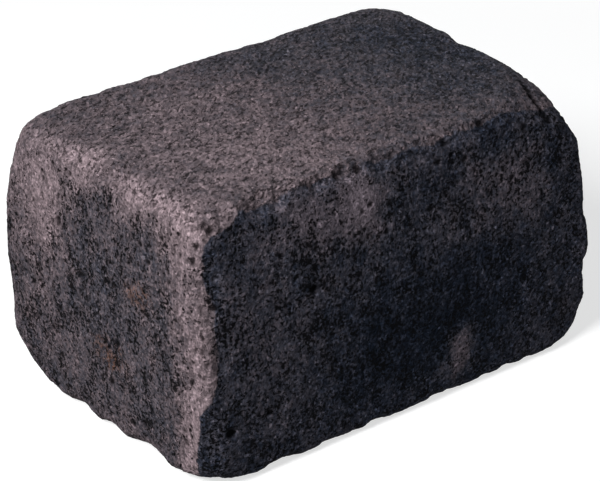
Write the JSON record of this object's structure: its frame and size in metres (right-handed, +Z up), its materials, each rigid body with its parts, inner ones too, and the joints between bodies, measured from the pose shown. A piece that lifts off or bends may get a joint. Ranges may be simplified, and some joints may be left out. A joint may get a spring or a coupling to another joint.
{
  "type": "concrete wall block",
  "caption": "Tumbled concrete garden wall block, a solid piece with knocked corners and worn, chipped arrises, for dry-laid low walls.",
  "frame": {"origin": "on the bed, under the middle of the block's box", "axes": "+Z up from bed to top, +X along the length, the long face that shows in a wall looks along -Y"},
  "size_m": [0.2502, 0.1641, 0.136],
  "materials": {
    "concrete": "rough dark brown-grey dry-cast concrete"
  },
  "bodies": {
    "root": {"concrete_block": "concrete"}
  },
  "joints": []
}
